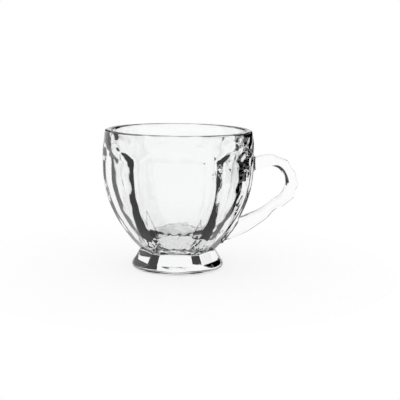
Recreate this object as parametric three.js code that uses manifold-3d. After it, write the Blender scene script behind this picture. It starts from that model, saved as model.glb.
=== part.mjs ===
// A small footed glass mug: a panelled bowl, a flared foot and a flat handle with a scalloped back.
// Millimetres, +Z up. The origin is the middle of the flat underside, and the handle points along +X.

import * as THREE from 'three';
import { mergeVertices } from 'three/addons/utils/BufferGeometryUtils.js';
import Module from 'manifold-3d';

const wasm = await Module();
wasm.setup();

// Foot, with heights from the table
const BASE_RADIUS = 24.2;
const LIP_RADIUS = 25.4;
const LIP_HEIGHT = 1.9;
const FOOT_HEIGHT = 9.7;
const WAIST_RADIUS = 20.8;

// Bowl, from the top of the foot up to the belly and from the belly up to the rim
const BELLY_HEIGHT = 48.3;
const BELLY_RADIUS = 41.4;
const SHOULDER_HEIGHT = 17.8;
const RIM_RADIUS = 39.9;
const RIM_WALL = 4;
const LOWER_FULLNESS = 2.28;

// Wide panels with a narrow rib between each two, on the bowl and the foot alike. The panels are a little
// rounder than flat: a crown is the share of the round body's bulge that is left on a side.
const PANEL_COUNT = 6;
const PANEL_CROWN = 0.15;
const RIB_ANGLE = THREE.MathUtils.degToRad(13.2);
const PANEL_SPRING = 3.7;
const PANEL_ARCH = 6.7;
const RIB_SPRING = 5.4;
const RIB_ARCH = 1;
const FOOT_ARCH = 2.6;

// Inside of the bowl: six sides behind the panels, and a blunt corner behind each rib that stands out beyond
// the round body by a share of its radius
const FLOOR_THICKNESS = 5.5;
const FLOOR_RADIUS = 11;
const BELLY_WALL = 7;
const INNER_FULLNESS = 2.6;
const INNER_CROWN = 0.3;
const INNER_CORNER = 0.035;

// Handle: its centre line from root to tail, as distance out from the belly's widest radius,
// height above the foot and half the thickness there
const HANDLE_LINE = [
  new THREE.Vector3(-11.4, 47.5, 4.6),
  new THREE.Vector3(0.6, 48.2, 3.5),
  new THREE.Vector3(9.1, 50, 3.1),
  new THREE.Vector3(16.3, 47.2, 3.2),
  new THREE.Vector3(20.7, 37.9, 3.4),
  new THREE.Vector3(18, 30, 3.4),
  new THREE.Vector3(12, 25.7, 2.8),
  new THREE.Vector3(5.6, 20.4, 3.1),
  new THREE.Vector3(-5.2, 14.1, 4.3),
  new THREE.Vector3(-15.4, 8.9, 3.7),
  new THREE.Vector3(-24.4, 5.1, 2),
];
const HANDLE_WIDTH = 7.8;
const HANDLE_EDGE = 1.3;

// Scallops: lengths along the centre line where the back keeps its height, and how far it dips between them
const SCALLOP_CUSPS = [21.3, 28.5, 34.9, 40.1, 45.8, 52.3, 62.7];
const SCALLOP_DEPTH = 0.8;

// Clear gap where the handle's ends meet the bowl
const JOINT_GAP = 0.3;

// How finely the surfaces are divided
const PANEL_COLUMNS = 8;
const RIB_COLUMNS = 2;
const WALL_ROWS = 12;
const SHOULDER_ROWS = 12;
const LIP_ROWS = 6;
const FOOT_ROWS = 6;
const HANDLE_STEP = 1.3;
const EDGE_STEPS = 2;
const WELD_DISTANCE = 1e-4;

const SECTOR_ANGLE = (2 * Math.PI) / PANEL_COUNT;
const PANEL_ANGLE = SECTOR_ANGLE - RIB_ANGLE;
const SECTOR_COLUMNS = PANEL_COLUMNS + RIB_COLUMNS;
const COLUMNS = PANEL_COUNT * SECTOR_COLUMNS;
const BELLY_LEVEL = FOOT_HEIGHT + BELLY_HEIGHT;
const RIM_LEVEL = BELLY_LEVEL + SHOULDER_HEIGHT;
const FLOOR_LEVEL = FOOT_HEIGHT + FLOOR_THICKNESS;
const LIP_CURVE = RIM_WALL / 2;

const { clamp, inverseLerp, lerp } = THREE.MathUtils;

// Keeps only the positions, joins the points that coincide and drops the triangles left with no area.
function closed(geometry) {
  geometry.deleteAttribute('normal');
  geometry.deleteAttribute('uv');
  const merged = mergeVertices(geometry, WELD_DISTANCE);
  const corners = merged.index.array;
  const kept = [];
  for (let i = 0; i < corners.length; i += 3) {
    const [a, b, c] = corners.slice(i, i + 3);
    if (a !== b && b !== c && c !== a) {
      kept.push(a, b, c);
    }
  }
  merged.setIndex(kept);
  return merged;
}

function toSolid(geometry) {
  const mesh = new wasm.Mesh({
    numProp: 3,
    vertProperties: new Float32Array(geometry.attributes.position.array),
    triVerts: new Uint32Array(geometry.index.array),
  });
  return new wasm.Manifold(mesh);
}

function toGeometry(solid) {
  const mesh = solid.getMesh();
  const geometry = new THREE.BufferGeometry();
  geometry.setAttribute('position', new THREE.BufferAttribute(mesh.vertProperties, 3));
  geometry.setIndex(new THREE.BufferAttribute(mesh.triVerts, 1));
  return geometry;
}

// Where one column of points stands: its angle, and its place across the panel or rib that it belongs to.
// A rib is centred on the +X axis, under the handle.
function columnPlace(column) {
  const sector = Math.floor(column / SECTOR_COLUMNS);
  const step = column % SECTOR_COLUMNS;
  const onRib = step < RIB_COLUMNS;
  const half = (onRib ? RIB_ANGLE : PANEL_ANGLE) / 2;
  const across = onRib ? step / RIB_COLUMNS : (step - RIB_COLUMNS) / PANEL_COLUMNS;
  const offset = lerp(-half, half, across);
  const middle = sector * SECTOR_ANGLE + (onRib ? 0 : SECTOR_ANGLE / 2);
  return { onRib, half, offset, angle: middle + offset };
}

// Radius across a side as a share of the radius at its edges, which are half its angle from its middle. As
// the side runs out, from 0 to 1, it leans outward until its middle is level with the round body, so its end
// is an arch.
function sideShare(half, offset, runOut, crown) {
  const lean = lerp(1, 1 / Math.cos(half), runOut);
  return lerp((Math.cos(half) * lean) / Math.cos(offset), 1, crown);
}

// The outside: panels and ribs.
function outerShare(place, point) {
  const runOut = place.onRib ? point.ribRunOut : point.panelRunOut;
  const crown = place.onRib ? 0 : PANEL_CROWN;
  return Math.min(1, sideShare(place.half, place.offset, runOut, crown));
}

// The inside: the sides go on past the panels' edges and meet in the corners behind the ribs.
function innerShare(place, point) {
  const offset = place.onRib ? SECTOR_ANGLE / 2 - Math.abs(place.offset) : place.offset;
  const corner = 1 + INNER_CORNER * Math.max(0, 1 - point.panelRunOut);
  return Math.min(corner, sideShare(PANEL_ANGLE / 2, offset, point.panelRunOut, INNER_CROWN));
}

// Turns a profile about Z. Where a point carries a share, its radius is cut to it.
function panelledTurning(profile) {
  const outline = profile.map((point) => new THREE.Vector2(point.radius, point.height));
  const geometry = new THREE.LatheGeometry(outline, COLUMNS);
  const position = geometry.attributes.position;
  for (let column = 0; column <= COLUMNS; column += 1) {
    const place = columnPlace(column % COLUMNS);
    profile.forEach((point, row) => {
      const radius = point.share ? point.radius * point.share(place, point) : point.radius;
      const x = radius * Math.cos(place.angle);
      const y = radius * Math.sin(place.angle);
      position.setXYZ(column * profile.length + row, x, y, point.height);
    });
  }
  return closed(geometry);
}

// Outer radius of the bowl at its corners: full below the belly, then drawn in a little to the rim.
function bowlRadius(height) {
  const below = (BELLY_LEVEL - height) / BELLY_HEIGHT;
  if (below > 0) {
    return BELLY_RADIUS - (BELLY_RADIUS - WAIST_RADIUS) * below ** LOWER_FULLNESS;
  }
  const above = (height - BELLY_LEVEL) / SHOULDER_HEIGHT;
  return BELLY_RADIUS - (BELLY_RADIUS - RIM_RADIUS) * above ** 2;
}

// Inner radius of the bowl behind the panels' edges: nearly straight at the top, rounding in to the floor.
function innerRadius(height) {
  const top = BELLY_RADIUS - BELLY_WALL;
  const below = clamp((BELLY_LEVEL - height) / (BELLY_LEVEL - FLOOR_LEVEL), 0, 1);
  const above = clamp((height - BELLY_LEVEL) / (SHOULDER_HEIGHT - LIP_CURVE), 0, 1);
  const flare = (RIM_RADIUS - RIM_WALL - top) * above;
  return top + flare - (top - FLOOR_RADIUS) * below ** INNER_FULLNESS;
}

// A point of the bowl's wall, with how far the panels and ribs have run out at its height.
function wallPoint(radius, height, share) {
  const panelRunOut = Math.max(0, (height - BELLY_LEVEL - PANEL_SPRING) / PANEL_ARCH);
  const ribRunOut = Math.max(0, (height - BELLY_LEVEL - RIB_SPRING) / RIB_ARCH);
  return { radius, height, share, panelRunOut, ribRunOut };
}

// Rows from the foot to just under the rim's rounded lip, on the outside of the bowl.
function bowlOutside(grow) {
  const rows = [];
  for (let i = 0; i < WALL_ROWS; i += 1) {
    const height = lerp(FOOT_HEIGHT, BELLY_LEVEL, i / WALL_ROWS);
    rows.push(wallPoint(bowlRadius(height) + grow, height, outerShare));
  }
  for (let i = 0; i <= SHOULDER_ROWS; i += 1) {
    const height = lerp(BELLY_LEVEL, RIM_LEVEL - LIP_CURVE, i / SHOULDER_ROWS);
    rows.push(wallPoint(bowlRadius(height) + grow, height, outerShare));
  }
  return rows;
}

// The rounded lip, over the top from the outside to the inside.
function rimLip() {
  const rows = [];
  const middle = bowlRadius(RIM_LEVEL - LIP_CURVE) - LIP_CURVE;
  for (let i = 1; i < LIP_ROWS; i += 1) {
    const turn = (Math.PI * i) / LIP_ROWS;
    rows.push({
      radius: middle + LIP_CURVE * Math.cos(turn),
      height: RIM_LEVEL - LIP_CURVE + LIP_CURVE * Math.sin(turn),
    });
  }
  return rows;
}

// Rows from under the lip down to the edge of the floor, closer together towards the floor.
function bowlInside() {
  const rows = [];
  for (let i = 0; i <= WALL_ROWS; i += 1) {
    const height = lerp(RIM_LEVEL - LIP_CURVE, FLOOR_LEVEL, Math.sin((Math.PI * i) / (2 * WALL_ROWS)));
    rows.push(wallPoint(innerRadius(height), height, innerShare));
  }
  return rows;
}

function bowlGeometry() {
  const underside = { radius: 0, height: FOOT_HEIGHT };
  const floor = { radius: 0, height: FLOOR_LEVEL };
  return panelledTurning([underside, ...bowlOutside(0), ...rimLip(), ...bowlInside(), floor]);
}

// The bowl's outside as a full body, a joint's gap larger, to cut the handle's ends to shape.
function handleCutter() {
  const outside = bowlOutside(JOINT_GAP);
  const top = { radius: 0, height: outside[outside.length - 1].height };
  return panelledTurning([{ radius: 0, height: FOOT_HEIGHT }, ...outside, top]);
}

// The foot flares straight from the waist to a round lip, where its facets run out.
function footGeometry() {
  const rows = [
    { radius: 0, height: 0 },
    { radius: BASE_RADIUS, height: 0 },
  ];
  for (let i = 0; i <= FOOT_ROWS; i += 1) {
    const height = lerp(LIP_HEIGHT, FOOT_HEIGHT, i / FOOT_ROWS);
    const runOut = Math.max(0, 1 - (height - LIP_HEIGHT) / FOOT_ARCH);
    const radius = lerp(LIP_RADIUS, WAIST_RADIUS, i / FOOT_ROWS);
    rows.push({ radius, height, share: outerShare, panelRunOut: runOut, ribRunOut: runOut });
  }
  rows.push({ radius: 0, height: FOOT_HEIGHT });
  return panelledTurning(rows);
}

// How far the back of the handle dips between two cusps, at a length along its centre line.
function scallopDip(length) {
  const next = SCALLOP_CUSPS.findIndex((cusp) => cusp > length);
  if (next < 1) {
    return 0;
  }
  const along = inverseLerp(SCALLOP_CUSPS[next - 1], SCALLOP_CUSPS[next], length);
  return SCALLOP_DEPTH * Math.sin(Math.PI * along);
}

// Lengths along the centre line where the handle's section is set, with one at every cusp.
function handleStations(total) {
  const stops = [0, ...SCALLOP_CUSPS, total];
  const stations = [0];
  for (let i = 1; i < stops.length; i += 1) {
    const steps = Math.ceil((stops[i] - stops[i - 1]) / HANDLE_STEP);
    for (let j = 1; j <= steps; j += 1) {
      stations.push(lerp(stops[i - 1], stops[i], j / steps));
    }
  }
  return stations;
}

// A point on the handle's section, a rectangle with rounded edges, counted round from the middle of its back:
// the distance out from the centre line and the distance across the width.
function sectionPoint(step, halfThickness, dip) {
  const corner = Math.floor(step / (EDGE_STEPS + 1));
  const turn = (corner + (step % (EDGE_STEPS + 1)) / EDGE_STEPS) * (Math.PI / 2);
  const onBack = corner === 0 || corner === 3;
  const onRight = corner < 2;
  const out = onBack ? halfThickness - dip - HANDLE_EDGE : HANDLE_EDGE - halfThickness;
  const across = (HANDLE_WIDTH / 2 - HANDLE_EDGE) * (onRight ? 1 : -1);
  return { out: out + HANDLE_EDGE * Math.cos(turn), across: across + HANDLE_EDGE * Math.sin(turn) };
}

// Bends a plain rod, one high and one in radius, along the handle's centre line and gives it the handle's
// section at every station.
function handleBar() {
  const line = new THREE.CatmullRomCurve3(HANDLE_LINE);
  const total = line.getLength();
  const stations = handleStations(total);
  const sides = 4 * (EDGE_STEPS + 1);
  const rod = new THREE.CylinderGeometry(1, 1, 1, sides, stations.length - 1);
  const position = rod.attributes.position;
  for (let i = 0; i < position.count; i += 1) {
    const length = stations[Math.round((0.5 - position.getY(i)) * (stations.length - 1))];
    const point = line.getPointAt(length / total);
    const tangent = line.getTangentAt(length / total);
    const outward = new THREE.Vector2(-tangent.y, tangent.x).normalize();
    const onAxis = Math.hypot(position.getX(i), position.getZ(i)) < 0.5;
    const turn = Math.atan2(position.getX(i), position.getZ(i)) / (2 * Math.PI);
    const step = (Math.round(turn * sides) + sides) % sides;
    const edge = onAxis ? { out: 0, across: 0 } : sectionPoint(step, point.z, scallopDip(length));
    const x = BELLY_RADIUS + point.x + edge.out * outward.x;
    const z = FOOT_HEIGHT + point.y + edge.out * outward.y;
    position.setXYZ(i, x, edge.across, z);
  }
  return closed(rod);
}

function handleGeometry() {
  return toGeometry(toSolid(handleBar()).subtract(toSolid(handleCutter())));
}

function glassMesh(name, geometry) {
  const glass = new THREE.MeshStandardMaterial({ color: 0xf3f6f5, roughness: 0.04, metalness: 0 });
  glass.transparent = true;
  glass.opacity = 0.35;
  const mesh = new THREE.Mesh(geometry, glass);
  mesh.name = name;
  return mesh;
}

const mug = new THREE.Group();
mug.add(glassMesh('bowl', bowlGeometry()));
mug.add(glassMesh('foot', footGeometry()));
mug.add(glassMesh('handle', handleGeometry()));

export default mug;
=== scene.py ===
"""A small footed mug of clear pressed glass on a white table, seen from a little above its rim."""

import math

import bpy
import numpy as np
from mathutils import Matrix, Vector, noise


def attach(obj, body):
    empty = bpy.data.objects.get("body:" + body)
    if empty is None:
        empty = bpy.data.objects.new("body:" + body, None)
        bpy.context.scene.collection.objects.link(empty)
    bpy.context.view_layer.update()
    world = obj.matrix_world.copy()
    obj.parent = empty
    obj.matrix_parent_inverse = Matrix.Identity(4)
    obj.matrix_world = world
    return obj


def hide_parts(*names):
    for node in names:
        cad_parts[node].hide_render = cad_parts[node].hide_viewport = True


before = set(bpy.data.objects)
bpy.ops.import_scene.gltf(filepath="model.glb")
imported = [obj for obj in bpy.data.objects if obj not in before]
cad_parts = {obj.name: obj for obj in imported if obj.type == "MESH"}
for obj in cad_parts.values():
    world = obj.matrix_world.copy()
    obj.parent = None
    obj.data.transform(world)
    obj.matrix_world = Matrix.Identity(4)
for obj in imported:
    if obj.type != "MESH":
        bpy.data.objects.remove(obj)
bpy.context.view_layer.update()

MM = 0.001
DEGREE = math.radians(1)

# Foot, with heights from the table. Its lip is its widest part.
BASE_RADIUS = 24.2 * MM
LIP_RADIUS = 25.4 * MM
LIP_HEIGHT = 1.9 * MM
FOOT_HEIGHT = 9.7 * MM
WAIST_RADIUS = 20.8 * MM

# Bowl, from the top of the foot up to the belly and from the belly up to the rim, whose top is rounded.
# A fullness is the power of a wall's curve: the higher it is, the later the wall turns in below the belly.
BELLY_HEIGHT = 48.3 * MM
BELLY_RADIUS = 41.4 * MM
SHOULDER_HEIGHT = 17.8 * MM
RIM_RADIUS = 39.9 * MM
RIM_WALL = 3.5 * MM
RIM_CURVE = 0.9 * MM
LOWER_FULLNESS = 2.28

# Wide panels with a narrow rib between each two. A facet's crown is the share of the round body's bulge
# that it keeps. On the bowl a facet springs at a height above the belly and runs out over its arch. On the
# foot all facets run out over their arch, down to the lip.
PANEL_COUNT = 6
RIB_ANGLE = 13.2 * DEGREE
PANEL_CROWN = 0.03
RIB_CROWN = 0
FOOT_CROWN = 0.25
PANEL_SPRING = 3.7 * MM
PANEL_ARCH = 6.7 * MM
RIB_SPRING = 5.4 * MM
RIB_ARCH = 1 * MM
FOOT_ARCH = 2.6 * MM

# Inside of the bowl, with six soft sides. As shares of its radius: how far a corner reaches out past the
# ridges, over what length it is rounded, and how far the middle of a side swells out.
FLOOR_THICKNESS = 5.7 * MM
FLOOR_RADIUS = 10.5 * MM
BELLY_WALL = 7.2 * MM
INNER_FULLNESS = 2.53
INNER_CROWN = 0.2
INNER_CORNER = 0.02
INNER_CORNER_BLEND = 0.015
INNER_BULGE = 0.02

# Handle: its centre line from root to tail, as distance out from the belly's widest radius, height above
# the foot and half the thickness there. The cusps between its scallops are given by length along that line.
HANDLE_LINE = np.array([
    (-11.4, 47.5, 4.6),
    (0.6, 48.2, 3.5),
    (9.1, 50, 3.1),
    (16.3, 47.2, 3.2),
    (20.7, 37.9, 3.4),
    (18, 30, 3.4),
    (12, 25.7, 2.8),
    (5.6, 20.4, 3.1),
    (-5.2, 14.1, 4.3),
    (-15.4, 8.9, 3.7),
    (-24.4, 5.1, 2),
]) * MM
HANDLE_WIDTH = 7.8 * MM
HANDLE_EDGE = 1.9 * MM
HANDLE_FILLET = 1.2 * MM
SCALLOP_CUSPS = np.array([21.3, 28.5, 34.9, 40.1, 45.8, 52.3, 62.7]) * MM
SCALLOP_DEPTH = 0.8 * MM

# Fire-polished softness: over what length one surface rolls into the next, how blunt a cusp is as a share
# of its scallop's depth, and from what angle an edge is shaded as sharp
RIDGE_BLEND = 0.3 * MM
ARCH_BLEND = 0.5 * MM
WAIST_BLEND = 0.8 * MM
LIP_BLEND = 0.4 * MM
FLOOR_BLEND = 2 * MM
CUSP_SOFTNESS = 0.12
SHARP_ANGLE = 40 * DEGREE

# Waves in the pressed wall: their length, and their depth outside and inside. Above the belly they deepen
# to the rim's own depths over the reach. They fade out over the calm, under the rim's curve and at the axis.
WAVE_LENGTH = 6 * MM
OUTER_WAVES = 0.07 * MM
INNER_WAVES = 0.2 * MM
OUTER_RIM_WAVES = 0.25 * MM
INNER_RIM_WAVES = 0.6 * MM
RIM_WAVES_REACH = 8 * MM
RIM_CALM = 2 * MM
AXIS_CALM = 1 * MM

# Waves in the floor of the bowl, which fade out over their reach up the wall
FLOOR_WAVE_LENGTH = 3 * MM
FLOOR_WAVES = 0.6 * MM
FLOOR_WAVES_REACH = 14 * MM

# Where the handle is fused on: its gap from the bowl, and how far inside its outline the bowl's seam stays
SEAM_GAP = 0.02 * MM
SEAM_MARGIN = 0.25 * MM

# Columns of the mug's meshes over each rib, ridge and panel, and how far to each side a ridge's columns reach
RIB_COLUMNS = 12
RIDGE_COLUMNS = 12
PANEL_COLUMNS = 28
RIDGE_REACH = 1.6 * DEGREE

# Rows of the mug's meshes, how far apart they are inside, and how far the close ones reach above the waist
# and past an arch
WAIST_ROWS = 12
WALL_ROWS = 80
ARCH_ROWS = 40
BAND_ROWS = 7
RIM_ROWS = 17
FOOT_LIP_ROWS = 14
FOOT_ARCH_ROWS = 20
FOOT_FLARE_ROWS = 13
INNER_ROW = 0.85 * MM
WAIST_REACH = 2 * MM
ARCH_REACH = 1 * MM

# Points of the inside's profile above and below the belly. The wall's curve runs so many times the way down
# to the floor, and the floor cuts it off.
INNER_UPPER_POINTS = 40
INNER_LOWER_POINTS = 400
INNER_RUN = 1.2

# Handle's mesh: rows along it, steps round an edge, along a face and across the back or front of its section,
# and steps of its curve between two points of its line
HANDLE_ROWS = 240
EDGE_STEPS = 5
FACE_STEPS = 6
BACK_STEPS = 8
CURVE_STEPS = 60

# Search for where the handle meets the bowl: points along its line for its ends and for the bowl's seam, the
# length over which its direction is taken, and rounds that lay a point on the bowl
END_POINTS = 1200
SEAM_POINTS = 800
DIRECTION_STEP = 0.2 * MM
SEAM_ROUNDS = 6

# Clear glass, with a faint ripple and smears that dull its polish. A smear starts at one level of its noise
# and is full at another.
GLASS_TINT = (0.965, 0.97, 0.968, 1)
GLASS_INDEX = 1.52
SMEAR_SIZE = 9 * MM
SMEAR_FROM = 0.3
SMEAR_FULL = 0.8
SMEAR_ROUGHNESS = 0.02
RIPPLE_SIZE = 3 * MM
RIPPLE_HEIGHT = 0.02 * MM

# How often light may go through glass and how often it may be reflected. Light that is reflected inside the
# glass more than once goes dark, which draws the dark streaks of the ribs and the sides.
GLASS_BOUNCES = 12
GLOSSY_BOUNCES = 1

# Camera, fitted to the ellipses of the rim and the foot
CAMERA_PLACE = Vector((23.9, -471.9, 118.2)) * MM
CAMERA_TURN = 1.434 * DEGREE
CAMERA_PITCH = 9.778 * DEGREE
CAMERA_ROLL = 0.805 * DEGREE
CAMERA_ANGLE = 25.927 * DEGREE
CAMERA_NEAR = 10 * MM

# White stand, a hair below the foot. This share of its white is reflected, which shows the mug's shadow, and
# the rest is its own light.
STAND_RADIUS = 120 * MM
STAND_DROP = 0.2 * MM
STAND_WHITE = 0.3
STAND_SIDES = 128

# Black cards behind the mug on both sides and beyond its handle, out of the camera's sight, that give the
# glass dark edges. Each has two ranges in degrees: round from the handle towards the back, and up from the
# height of the cards' centre.
CARD_DISTANCE = 800 * MM
CARD_CENTRE = 40 * MM
CARD_BLACK = 0.012
CARD_POINTS = 25
CARDS = {
    "right_card": ((60, 78), (-7, 30)),
    "side_card": ((15, 60), (14, 30)),
    "low_side_card": ((25, 60), (-12, 4)),
    "left_card": ((104, 116), (4, 30)),
}

# Worked out from the values above: angles, heights from the table, and places round the handle's section
SECTOR_ANGLE = 2 * math.pi / PANEL_COUNT
PANEL_ANGLE = SECTOR_ANGLE - RIB_ANGLE
BELLY_LEVEL = FOOT_HEIGHT + BELLY_HEIGHT
RIM_LEVEL = BELLY_LEVEL + SHOULDER_HEIGHT
CURVE_LEVEL = RIM_LEVEL - RIM_CURVE
FLOOR_LEVEL = FOOT_HEIGHT + FLOOR_THICKNESS
SIDE_STEPS = 2 * EDGE_STEPS + FACE_STEPS
SECTION_STEPS = 2 * (SIDE_STEPS + BACK_STEPS)


def smooth_min(first, second, blend):
    """The lesser of two lengths, rolled over where they come within a blend of each other."""
    near = np.clip(1 - np.abs(first - second) / blend, 0, None)
    return np.minimum(first, second) - near**2 * blend / 4


def smooth_max(first, second, blend):
    """The greater of two lengths, rolled over in the same way."""
    return -smooth_min(-first, -second, blend)


def facet_radius(radius, angle, facet_angle, middle, crown, run_out):
    """Radius of the facets of one kind. Running out, from 0 to 1, they lean out to the round body."""
    offset = (angle - middle + SECTOR_ANGLE / 2) % SECTOR_ANGLE - SECTOR_ANGLE / 2
    half = facet_angle / 2
    lean = 1 + (1 / math.cos(half) - 1) * run_out
    flat = math.cos(half) * lean / np.cos(offset)
    return radius * (flat + (1 - flat) * crown)


def panelled(radius, angle, panel_crown, panel_run_out, rib_run_out):
    """Radius of a round body cut into panels and ribs, with soft ridges and arches."""
    panels = facet_radius(radius, angle, PANEL_ANGLE, SECTOR_ANGLE / 2, panel_crown, panel_run_out)
    ribs = facet_radius(radius, angle, RIB_ANGLE, 0, RIB_CROWN, rib_run_out)
    return smooth_min(smooth_min(panels, ribs, RIDGE_BLEND), radius, ARCH_BLEND)


def bowl_run_out(height, spring, arch):
    """How far facets of the bowl have run out: 0 up to their spring and 1 at the top of their arch."""
    return np.clip((height - BELLY_LEVEL - spring) / arch, 0, None)


def bowl_profile(height):
    """Radius of the bowl's round body, also a little below the waist where the foot takes over."""
    below = np.clip((BELLY_LEVEL - height) / BELLY_HEIGHT, 0, None)
    above = np.clip((height - BELLY_LEVEL) / SHOULDER_HEIGHT, 0, None)
    lower = (BELLY_RADIUS - WAIST_RADIUS) * below**LOWER_FULLNESS
    upper = (BELLY_RADIUS - RIM_RADIUS) * above**2
    return BELLY_RADIUS - lower - upper


def foot_profile(height):
    """Radius of the foot's round body: a rounded lip, then straight in to the waist."""
    flare = LIP_RADIUS + (WAIST_RADIUS - LIP_RADIUS) * (height - LIP_HEIGHT) / (FOOT_HEIGHT - LIP_HEIGHT)
    rise = np.clip(height / LIP_HEIGHT, 0, 1)
    lip = BASE_RADIUS + (LIP_RADIUS - BASE_RADIUS) * np.sqrt(rise * (2 - rise))
    return smooth_min(flare, lip, LIP_BLEND)


def outer_radius(angle, height):
    """Radius of the mug's outside, apart from the handle, from the table to the rim's curve."""
    panel_run_out = bowl_run_out(height, PANEL_SPRING, PANEL_ARCH)
    rib_run_out = bowl_run_out(height, RIB_SPRING, RIB_ARCH)
    bowl = panelled(bowl_profile(height), angle, PANEL_CROWN, panel_run_out, rib_run_out)
    foot_run_out = np.clip(1 - (height - LIP_HEIGHT) / FOOT_ARCH, 0, None)
    foot = panelled(foot_profile(height), angle, FOOT_CROWN, foot_run_out, foot_run_out)
    return smooth_max(bowl, foot, WAIST_BLEND)


def inner_profile():
    """Radius and height of points down the bowl's inside, from the rim's curve to the floor's middle."""
    belly = BELLY_RADIUS - BELLY_WALL
    upper_height = np.linspace(CURVE_LEVEL, BELLY_LEVEL, INNER_UPPER_POINTS)
    flare = (RIM_RADIUS - RIM_WALL - belly) * (upper_height - BELLY_LEVEL) / (CURVE_LEVEL - BELLY_LEVEL)
    upper = np.stack([belly + flare, upper_height], -1)
    below = np.linspace(0, INNER_RUN, INNER_LOWER_POINTS)
    wall_radius = belly - (belly - FLOOR_RADIUS) * below**INNER_FULLNESS
    wall_height = BELLY_LEVEL - below * (BELLY_LEVEL - FLOOR_LEVEL)
    lower = np.stack([wall_radius, smooth_max(wall_height, FLOOR_LEVEL, FLOOR_BLEND)], -1)
    lower = lower[lower[:, 0] > 0]
    return np.concatenate([upper, lower[1:], [(0, FLOOR_LEVEL)]])


def inner_share(angle, height):
    """Radius of the six-sided inside, as a share of its radius at the outer ridges."""
    run_out = bowl_run_out(height, PANEL_SPRING, PANEL_ARCH)
    remaining = np.clip(1 - run_out, 0, 1)
    across = (angle % SECTOR_ANGLE - SECTOR_ANGLE / 2) / (PANEL_ANGLE / 2)
    bulge = INNER_BULGE * np.clip(1 - across**2, 0, None) ** 2 * remaining
    sides = facet_radius(1, angle, PANEL_ANGLE, SECTOR_ANGLE / 2, INNER_CROWN, run_out) + bulge
    corners = 1 + INNER_CORNER * remaining
    return smooth_min(sides, corners, INNER_CORNER_BLEND)


def evenly_spaced(points, spacing):
    """The same line with its points a fixed distance apart."""
    length = np.concatenate([[0], np.cumsum(np.linalg.norm(np.diff(points, axis=0), axis=1))])
    steps = np.linspace(0, length[-1], round(length[-1] / spacing) + 1)
    return np.stack([np.interp(steps, length, axis) for axis in points.T], -1)


def steps_between(stops, counts):
    """Numbers from each stop to the next in so many even steps, and the last stop."""
    stretches = [np.linspace(a, b, n, endpoint=False) for a, b, n in zip(stops, stops[1:], counts)]
    return np.concatenate([*stretches, stops[-1:]])


def column_angles():
    """Angles of the mesh's columns round the mug, closest together at the ridges."""
    ridge = RIB_ANGLE / 2
    next_ridge = SECTOR_ANGLE - ridge
    stops = [
        -ridge + RIDGE_REACH,
        ridge - RIDGE_REACH,
        ridge + RIDGE_REACH,
        next_ridge - RIDGE_REACH,
        next_ridge + RIDGE_REACH,
    ]
    sector = steps_between(stops, [RIB_COLUMNS, RIDGE_COLUMNS, PANEL_COLUMNS, RIDGE_COLUMNS])[:-1]
    return np.concatenate([sector + i * SECTOR_ANGLE for i in range(PANEL_COUNT)])


def turned_rings(radii, angles, heights):
    """Rings of points: one row for each height and one column for each angle."""
    radii, angles, heights = np.broadcast_arrays(radii, angles, heights[:, None])
    return np.stack([radii * np.cos(angles), radii * np.sin(angles), heights], -1)


def outside_rings(angles):
    """Rings of the bowl's outside, from the waist up to the rim's curve."""
    spring = BELLY_LEVEL + PANEL_SPRING
    stops = [FOOT_HEIGHT, FOOT_HEIGHT + WAIST_REACH, spring, spring + PANEL_ARCH + ARCH_REACH, CURVE_LEVEL]
    heights = steps_between(stops, [WAIST_ROWS, WALL_ROWS, ARCH_ROWS, BAND_ROWS])
    return turned_rings(outer_radius(angles, heights[:, None]), angles, heights)


def rim_rings(angles):
    """Rings over the rim's curve, from the outside to the inside."""
    turn = np.linspace(0, math.pi, RIM_ROWS + 1)[1:-1]
    middle = bowl_profile(CURVE_LEVEL) - RIM_WALL / 2
    radii = middle + RIM_WALL / 2 * np.cos(turn)
    return turned_rings(radii[:, None], angles, CURVE_LEVEL + RIM_CURVE * np.sin(turn))


def inside_rings(angles):
    """Rings of the bowl's inside, from the rim's curve down to the floor."""
    radii, heights = evenly_spaced(inner_profile(), INNER_ROW)[:-1].T
    return turned_rings(radii[:, None] * inner_share(angles, heights[:, None]), angles, heights)


def foot_rings(angles):
    """Rings of the foot's outside, from the table up to the waist."""
    stops = [0, LIP_HEIGHT, LIP_HEIGHT + FOOT_ARCH + ARCH_REACH, FOOT_HEIGHT]
    heights = steps_between(stops, [FOOT_LIP_ROWS, FOOT_ARCH_ROWS, FOOT_FLARE_ROWS])
    return turned_rings(outer_radius(angles, heights[:, None]), angles, heights)


def wave_heights(points, wave_length):
    """Slow waves, up to 1 high and deep, at each of the points."""
    return np.array([noise.noise(Vector(p) / wave_length) for p in points])


def pressing_waves(rings, depth, rim_depth):
    """Rings moved in and out from the axis by the unevenness of pressed glass, more so under the rim."""
    points = rings.reshape(-1, 3).copy()
    height = points[:, 2]
    under_rim = np.clip((height - BELLY_LEVEL) / RIM_WAVES_REACH, 0, 1)
    at_curve = np.clip(1 - (CURVE_LEVEL - height) / RIM_CALM, 0, 1)
    depths = (depth + (rim_depth - depth) * under_rim) * (1 - at_curve)
    radius = np.linalg.norm(points[:, :2], axis=1, keepdims=True)
    outward = points[:, :2] / np.maximum(radius, AXIS_CALM)
    points[:, :2] += outward * (wave_heights(points, WAVE_LENGTH) * depths)[:, None]
    return points.reshape(rings.shape)


def floor_waves(rings):
    """Rings of the bowl's inside with its floor lifted and lowered a little, fading out up the wall."""
    points = rings.reshape(-1, 3).copy()
    fade = np.clip(1 - (points[:, 2] - FLOOR_LEVEL) / FLOOR_WAVES_REACH, 0, 1)
    points[:, 2] += wave_heights(points, FLOOR_WAVE_LENGTH) * fade * FLOOR_WAVES
    return points.reshape(rings.shape)


def linked_object(name, data):
    """An object in the scene with that mesh or camera."""
    linked = bpy.data.objects.new(name, data)
    bpy.context.scene.collection.objects.link(linked)
    return linked


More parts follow.
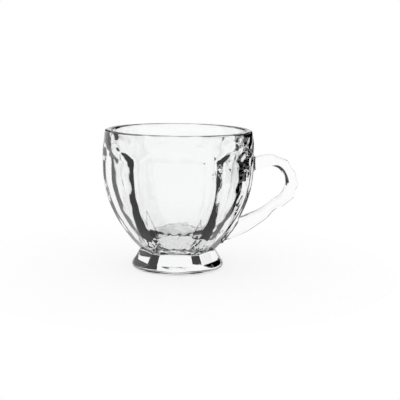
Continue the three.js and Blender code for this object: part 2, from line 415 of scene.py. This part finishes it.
def glass_object(name, points, faces, seam, materials):
    """A smooth-shaded object. Its seam faces are where it is fused to a neighbour."""
    mesh = bpy.data.meshes.new(name)
    mesh.from_pydata([tuple(map(float, p)) for p in points], [], faces)
    for material in materials:
        mesh.materials.append(material)
    mesh.polygons.foreach_set("material_index", np.array(seam, np.int32))
    mesh.polygons.foreach_set("use_smooth", np.ones(len(faces), bool))
    mesh.set_sharp_from_angle(angle=SHARP_ANGLE)
    mesh.update()
    return linked_object(name, mesh)


def closed_turning(name, rings, materials, fused_end):
    """A closed mesh of rings whose first and last are drawn to a point on the axis. One end is a seam."""
    rows, columns, _ = rings.shape
    first = (0, 0, rings[0, 0, 2])
    last = (0, 0, rings[-1, 0, 2])
    points = [first, *rings.reshape(-1, 3), last]
    pairs = [(c, (c + 1) % columns) for c in range(columns)]
    last_ring = 1 + (rows - 1) * columns
    first_fan = [(0, 1 + n, 1 + c) for c, n in pairs]
    last_fan = [(last_ring + c, last_ring + n, len(points) - 1) for c, n in pairs]
    sides = []
    for ring in range(1, last_ring, columns):
        after = ring + columns
        sides.extend((ring + c, ring + n, after + n, after + c) for c, n in pairs)
    seam = [fused_end == "first"] * columns + [False] * len(sides) + [fused_end == "last"] * columns
    return glass_object(name, points, first_fan + sides + last_fan, seam, materials)


def catmull_rom(points):
    """A centripetal curve through the points, as if their line ran on straight past both ends."""
    padded = np.concatenate([[2 * points[0] - points[1]], points, [2 * points[-1] - points[-2]]])
    t = np.linspace(0, 1, CURVE_STEPS, endpoint=False)[:, None]
    pieces = []
    for i in range(len(points) - 1):
        p0, p1, p2, p3 = padded[i:i + 4]
        d0, d1, d2 = (math.sqrt(np.linalg.norm(b - a)) for a, b in ((p0, p1), (p1, p2), (p2, p3)))
        start = ((p1 - p0) / d0 - (p2 - p0) / (d0 + d1) + (p2 - p1) / d1) * d1
        end = ((p2 - p1) / d1 - (p3 - p1) / (d1 + d2) + (p3 - p2) / d2) * d1
        bend = -3 * p1 + 3 * p2 - 2 * start - end
        twist = 2 * p1 - 2 * p2 + start + end
        pieces.append(p1 + start * t + bend * t**2 + twist * t**3)
    pieces.append(points[-1:])
    return np.concatenate(pieces)


class HandleLine:
    """The handle's centre line as a smooth curve, by length along it."""

    def __init__(self, points):
        self.line = catmull_rom(points) + (BELLY_RADIUS, FOOT_HEIGHT, 0)
        steps = np.linalg.norm(np.diff(self.line, axis=0), axis=1)
        self.length = np.concatenate([[0], np.cumsum(steps)])
        self.total = self.length[-1]

    def at(self, length):
        """Centre points (x, z), outward directions and half thicknesses at lengths along the line."""
        x, z, half = (np.interp(length, self.length, axis) for axis in self.line.T)
        ahead = [np.interp(length + DIRECTION_STEP, self.length, axis) for axis in self.line.T[:2]]
        behind = [np.interp(length - DIRECTION_STEP, self.length, axis) for axis in self.line.T[:2]]
        along = np.stack(ahead, -1) - np.stack(behind, -1)
        along /= np.linalg.norm(along, axis=-1, keepdims=True)
        outward = np.stack([-along[..., 1], along[..., 0]], -1)
        return np.stack([x, z], -1), outward, half


def scallop_dip(length):
    """How far the handle's back dips between two cusps."""
    place = np.interp(length, SCALLOP_CUSPS, np.arange(len(SCALLOP_CUSPS)))
    wave = np.sin(math.pi * place)
    return SCALLOP_DEPTH * (np.sqrt(wave**2 + CUSP_SOFTNESS**2) - CUSP_SOFTNESS)


def handle_section():
    """Places round the handle's section: their sides, -1 to 1 outward and across, and turn round an edge.

    As seen facing the handle's back, they start at the back's right end and go along the right face, across
    the front, along the left face and across the back.
    """
    quarter = math.pi / 2
    corners = [(1, 1), (-1, 1), (-1, -1), (1, -1)]
    places = []
    for i, (out, across) in enumerate(corners):
        for step in range(EDGE_STEPS + 1):
            places.append((out, across, (i + step / EDGE_STEPS) * quarter))
        next_out, next_across = corners[(i + 1) % len(corners)]
        steps = FACE_STEPS if i % 2 == 0 else BACK_STEPS
        for step in range(1, steps):
            share = step / steps
            places.append((
                out + (next_out - out) * share,
                across + (next_across - across) * share,
                (i + 1) * quarter,
            ))
    return np.array(places)


def handle_bar(line, section, lengths, growth):
    """Points of the bent bar: one row for each length, one column for each place on the section."""
    out_side, across_side, turn = section.T
    centre, outward, half = line.at(lengths)
    edge = HANDLE_EDGE + growth
    dip = scallop_dip(lengths) * (out_side + 1) / 2
    out = out_side * (half - HANDLE_EDGE) + edge * np.cos(turn) - dip
    across = across_side * (HANDLE_WIDTH / 2 - HANDLE_EDGE) + edge * np.sin(turn)
    plane = centre + outward * out[..., None]
    return np.stack([plane[..., 0], np.broadcast_to(across, out.shape), plane[..., 1]], -1)


def clear_of_bowl(points):
    """How far points are outside the bowl and the seam's gap round it, along the radius."""
    radius = np.hypot(points[..., 0], points[..., 1])
    angle = np.arctan2(points[..., 1], points[..., 0])
    return radius - outer_radius(angle, points[..., 2]) - SEAM_GAP


def handle_points(line, section, lengths):
    """Points of the handle's surface: the bar, grown where it meets the bowl by a fillet."""
    plain = handle_bar(line, section, lengths, np.zeros((1, len(section))))
    near = np.clip(1 - clear_of_bowl(plain) / HANDLE_FILLET, 0, 1)
    return handle_bar(line, section, lengths, HANDLE_FILLET * (1 - np.sqrt(1 - near**2)))


def crossing(lengths, clearance):
    """For each column, the length at which it first leaves the bowl."""
    first = np.argmax(clearance > 0, axis=0)
    columns = np.arange(clearance.shape[1])
    before = clearance[first - 1, columns]
    after = clearance[first, columns]
    share = before / (before - after)
    return lengths[first - 1] + share * (lengths[first] - lengths[first - 1])


def bar_faces():
    """Faces of the handle's bar between each row and the next."""
    faces = []
    for row in range(0, (HANDLE_ROWS - 1) * SECTION_STEPS, SECTION_STEPS):
        after = row + SECTION_STEPS
        for k in range(SECTION_STEPS):
            n = (k + 1) % SECTION_STEPS
            faces.append((row + k, after + k, after + n, row + n))
    return faces


def seam_patch(ring):
    """The inner points of a handle's end, laid on the bowl between the two sides of its edge."""
    rows = []
    for x, y, z in ring[1:SIDE_STEPS]:
        across = np.linspace(y, -y, BACK_STEPS + 1)[1:-1]
        along = np.full_like(across, x)
        height = np.full_like(across, z)
        for _ in range(SEAM_ROUNDS):
            radius = outer_radius(np.arctan2(across, along), height) + SEAM_GAP
            along = np.sqrt(radius**2 - across**2)
        rows.append(np.stack([along, across, height], -1))
    return np.array(rows)


def seam_faces(ring_start, patch_start):
    """Faces of a handle's end, over the ring's own points at its edge and the patch's points inside it."""
    inside = BACK_STEPS - 1
    grid = [[ring_start + -k % SECTION_STEPS for k in range(BACK_STEPS + 1)]]
    for right in range(1, SIDE_STEPS):
        left = SECTION_STEPS - BACK_STEPS - right
        start = patch_start + (right - 1) * inside
        grid.append([ring_start + right, *range(start, start + inside), ring_start + left])
    grid.append([ring_start + SIDE_STEPS + k for k in range(BACK_STEPS + 1)])
    faces = []
    for above, below in zip(grid, grid[1:]):
        for k in range(BACK_STEPS):
            faces.append((above[k], above[k + 1], below[k + 1], below[k]))
    return faces


def build_handle(line, materials):
    """The handle's bar between the bowl's outside at its root and at its tail, closed by seam faces."""
    section = handle_section()
    lengths = np.linspace(0, line.total, END_POINTS)
    clearance = clear_of_bowl(handle_points(line, section, lengths[:, None]))
    root = crossing(lengths, clearance)
    tail = crossing(lengths[::-1], clearance[::-1])
    share = np.linspace(0, 1, HANDLE_ROWS)[:, None]
    rings = handle_points(line, section, root + (tail - root) * share)
    points = list(rings.reshape(-1, 3))
    faces = bar_faces()
    seam = [False] * len(faces)
    for row in (0, HANDLE_ROWS - 1):
        end_faces = seam_faces(row * SECTION_STEPS, len(points))
        faces.extend(face[::-1] if row == 0 else face for face in end_faces)
        seam.extend([True] * len(end_faces))
        points.extend(seam_patch(rings[row]).reshape(-1, 3))
    return glass_object("handle_glass", points, faces, seam, materials)


def under_handle(line, points):
    """Which points of the bowl's outside lie well inside the handle where it meets the bowl."""
    lengths = np.linspace(0, line.total, SEAM_POINTS)
    centre, outward, half = line.at(lengths)
    gap = points[:, None, [0, 2]] - centre[None]
    nearest = np.argmin((gap**2).sum(-1), axis=1)
    rows = np.arange(len(points))
    out = np.abs((gap[rows, nearest] * outward[nearest]).sum(-1))
    corner_out = np.clip(out - (half[nearest] - HANDLE_EDGE), 0, None)
    corner_across = np.clip(np.abs(points[:, 1]) - (HANDLE_WIDTH / 2 - HANDLE_EDGE), 0, None)
    at_end = (nearest == 0) | (nearest == len(lengths) - 1)
    reach = HANDLE_EDGE + HANDLE_FILLET - SEAM_MARGIN
    return (np.hypot(corner_out, corner_across) < reach) & ~at_end


def fuse_handle_to_bowl(bowl, line, outside_rows, columns):
    """Makes seam faces of those under the handle's ends. The bowl's outside comes after its first fan."""
    polygons = bowl.data.polygons
    centres = np.zeros(len(polygons) * 3)
    polygons.foreach_get("center", centres)
    centres = centres.reshape(-1, 3)
    index = np.zeros(len(polygons), np.int32)
    polygons.foreach_get("material_index", index)
    near = np.arange(columns, columns * outside_rows)
    near = near[(centres[near, 0] > 0) & (np.abs(centres[near, 1]) < HANDLE_WIDTH)]
    index[near[under_handle(line, centres[near])]] = 1
    polygons.foreach_set("material_index", index)


def clear_glass():
    """Colourless pressed glass: fire-polished, with a trace of haze and a faint ripple."""
    material = bpy.data.materials.new("clear_glass")
    material.use_nodes = True
    nodes = material.node_tree.nodes
    links = material.node_tree.links
    shader = nodes["Principled BSDF"]
    shader.inputs["Base Color"].default_value = GLASS_TINT
    shader.inputs["IOR"].default_value = GLASS_INDEX
    shader.inputs["Transmission Weight"].default_value = 1
    place = nodes.new("ShaderNodeTexCoord")
    smears = nodes.new("ShaderNodeTexNoise")
    smears.inputs["Scale"].default_value = 1 / SMEAR_SIZE
    links.new(place.outputs["Object"], smears.inputs["Vector"])
    polish = nodes.new("ShaderNodeMapRange")
    polish.inputs["From Min"].default_value = SMEAR_FROM
    polish.inputs["From Max"].default_value = SMEAR_FULL
    polish.inputs["To Min"].default_value = 0
    polish.inputs["To Max"].default_value = SMEAR_ROUGHNESS
    links.new(smears.outputs["Fac"], polish.inputs["Value"])
    links.new(polish.outputs["Result"], shader.inputs["Roughness"])
    ripples = nodes.new("ShaderNodeTexNoise")
    ripples.inputs["Scale"].default_value = 1 / RIPPLE_SIZE
    links.new(place.outputs["Object"], ripples.inputs["Vector"])
    bump = nodes.new("ShaderNodeBump")
    bump.inputs["Strength"].default_value = 1
    bump.inputs["Distance"].default_value = RIPPLE_HEIGHT
    links.new(ripples.outputs["Fac"], bump.inputs["Height"])
    links.new(bump.outputs["Normal"], shader.inputs["Normal"])
    return material


def fused_seam():
    """Where two pieces are fused there is no surface to see."""
    material = bpy.data.materials.new("fused_seam")
    material.use_nodes = True
    shader = material.node_tree.nodes["Principled BSDF"]
    shader.inputs["Alpha"].default_value = 0
    return material


def build_mug():
    """The mug's three pieces, each in place of its solid."""
    materials = [clear_glass(), fused_seam()]
    angles = column_angles()
    line = HandleLine(HANDLE_LINE)
    outside = pressing_waves(outside_rings(angles), OUTER_WAVES, OUTER_RIM_WAVES)
    inside = floor_waves(pressing_waves(inside_rings(angles), INNER_WAVES, INNER_RIM_WAVES))
    rings = np.concatenate([outside, rim_rings(angles), inside])
    bowl = closed_turning("bowl_glass", rings, materials, "first")
    fuse_handle_to_bowl(bowl, line, len(outside), len(angles))
    foot = closed_turning("foot_glass", foot_rings(angles), materials, "last")
    handle = build_handle(line, materials)
    for piece, node in ((bowl, "bowl"), (foot, "foot"), (handle, "handle")):
        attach(piece, "root")
        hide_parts(node)


def build_camera():
    """The camera that took the photograph."""
    data = bpy.data.cameras.new("camera")
    data.angle = CAMERA_ANGLE
    data.clip_start = CAMERA_NEAR
    camera = linked_object("camera", data)
    camera.matrix_world = (
        Matrix.Translation(CAMERA_PLACE)
        @ Matrix.Rotation(CAMERA_TURN, 4, "Z")
        @ Matrix.Rotation(math.pi / 2 - CAMERA_PITCH, 4, "X")
        @ Matrix.Rotation(CAMERA_ROLL, 4, "Z")
    )
    bpy.context.scene.camera = camera


def seen_directly(nodes, links):
    """1 for what the camera sees itself, in a reflection or through glass, and 0 otherwise."""
    path = nodes.new("ShaderNodeLightPath")
    either = nodes.new("ShaderNodeMath")
    either.operation = "MAXIMUM"
    any_of = nodes.new("ShaderNodeMath")
    any_of.operation = "MAXIMUM"
    links.new(path.outputs["Is Camera Ray"], either.inputs[0])
    links.new(path.outputs["Is Glossy Ray"], either.inputs[1])
    links.new(either.outputs[0], any_of.inputs[0])
    links.new(path.outputs["Is Transmission Ray"], any_of.inputs[1])
    return any_of.outputs[0]


def matte_material(name, grey):
    """A material with no gloss at all, and its shader."""
    material = bpy.data.materials.new(name)
    material.use_nodes = True
    shader = material.node_tree.nodes["Principled BSDF"]
    shader.inputs["Base Color"].default_value = (grey, grey, grey, 1)
    shader.inputs["Roughness"].default_value = 1
    shader.inputs["Specular IOR Level"].default_value = 0
    return material, shader


def white_stand():
    """Matte white that comes out as white as the background where no shadow falls."""
    material, shader = matte_material("white_stand", STAND_WHITE)
    nodes = material.node_tree.nodes
    links = material.node_tree.links
    shader.inputs["Emission Color"].default_value = (1, 1, 1, 1)
    lift = nodes.new("ShaderNodeMath")
    lift.operation = "MULTIPLY"
    lift.inputs[1].default_value = 1 - STAND_WHITE
    links.new(seen_directly(nodes, links), lift.inputs[0])
    links.new(lift.outputs[0], shader.inputs["Emission Strength"])
    return material


def build_stand():
    """A plain white round stand under the mug."""
    turns = np.linspace(0, 2 * math.pi, STAND_SIDES, endpoint=False)
    points = [(STAND_RADIUS * math.cos(t), STAND_RADIUS * math.sin(t), -STAND_DROP) for t in turns]
    mesh = bpy.data.meshes.new("stand")
    mesh.from_pydata(points, [], [tuple(range(len(points)))])
    mesh.materials.append(white_stand())
    stand = linked_object("stand", mesh)


def build_card(name, across, up, material):
    """One card, bent round the mug, that only shows in the glass."""
    turns = np.radians(np.linspace(*across, CARD_POINTS))
    low, high = (CARD_CENTRE + CARD_DISTANCE * math.tan(u * DEGREE) for u in up)
    points = []
    for t in turns:
        for z in (low, high):
            points.append((CARD_DISTANCE * math.cos(t), CARD_DISTANCE * math.sin(t), z))
    faces = [(2 * i, 2 * i + 1, 2 * i + 3, 2 * i + 2) for i in range(len(turns) - 1)]
    mesh = bpy.data.meshes.new(name)
    mesh.from_pydata(points, [], faces)
    mesh.materials.append(material)
    card = linked_object(name, mesh)
    card.visible_camera = False
    card.visible_diffuse = False
    card.visible_shadow = False


def build_cards():
    """All the black cards, of one material."""
    black, _ = matte_material("black_card", CARD_BLACK)
    for name, (across, up) in CARDS.items():
        build_card(name, across, up, black)


def build_world():
    """A plain white studio."""
    world = bpy.data.worlds.new("studio")
    bpy.context.scene.world = world
    world.use_nodes = True
    world.node_tree.nodes["Background"].inputs["Color"].default_value = (1, 1, 1, 1)


build_mug()
build_camera()
build_stand()
build_cards()
build_world()
bpy.context.scene.view_settings.view_transform = "Standard"
bpy.context.scene.cycles.max_bounces = GLASS_BOUNCES
bpy.context.scene.cycles.transmission_bounces = GLASS_BOUNCES
bpy.context.scene.cycles.glossy_bounces = GLOSSY_BOUNCES
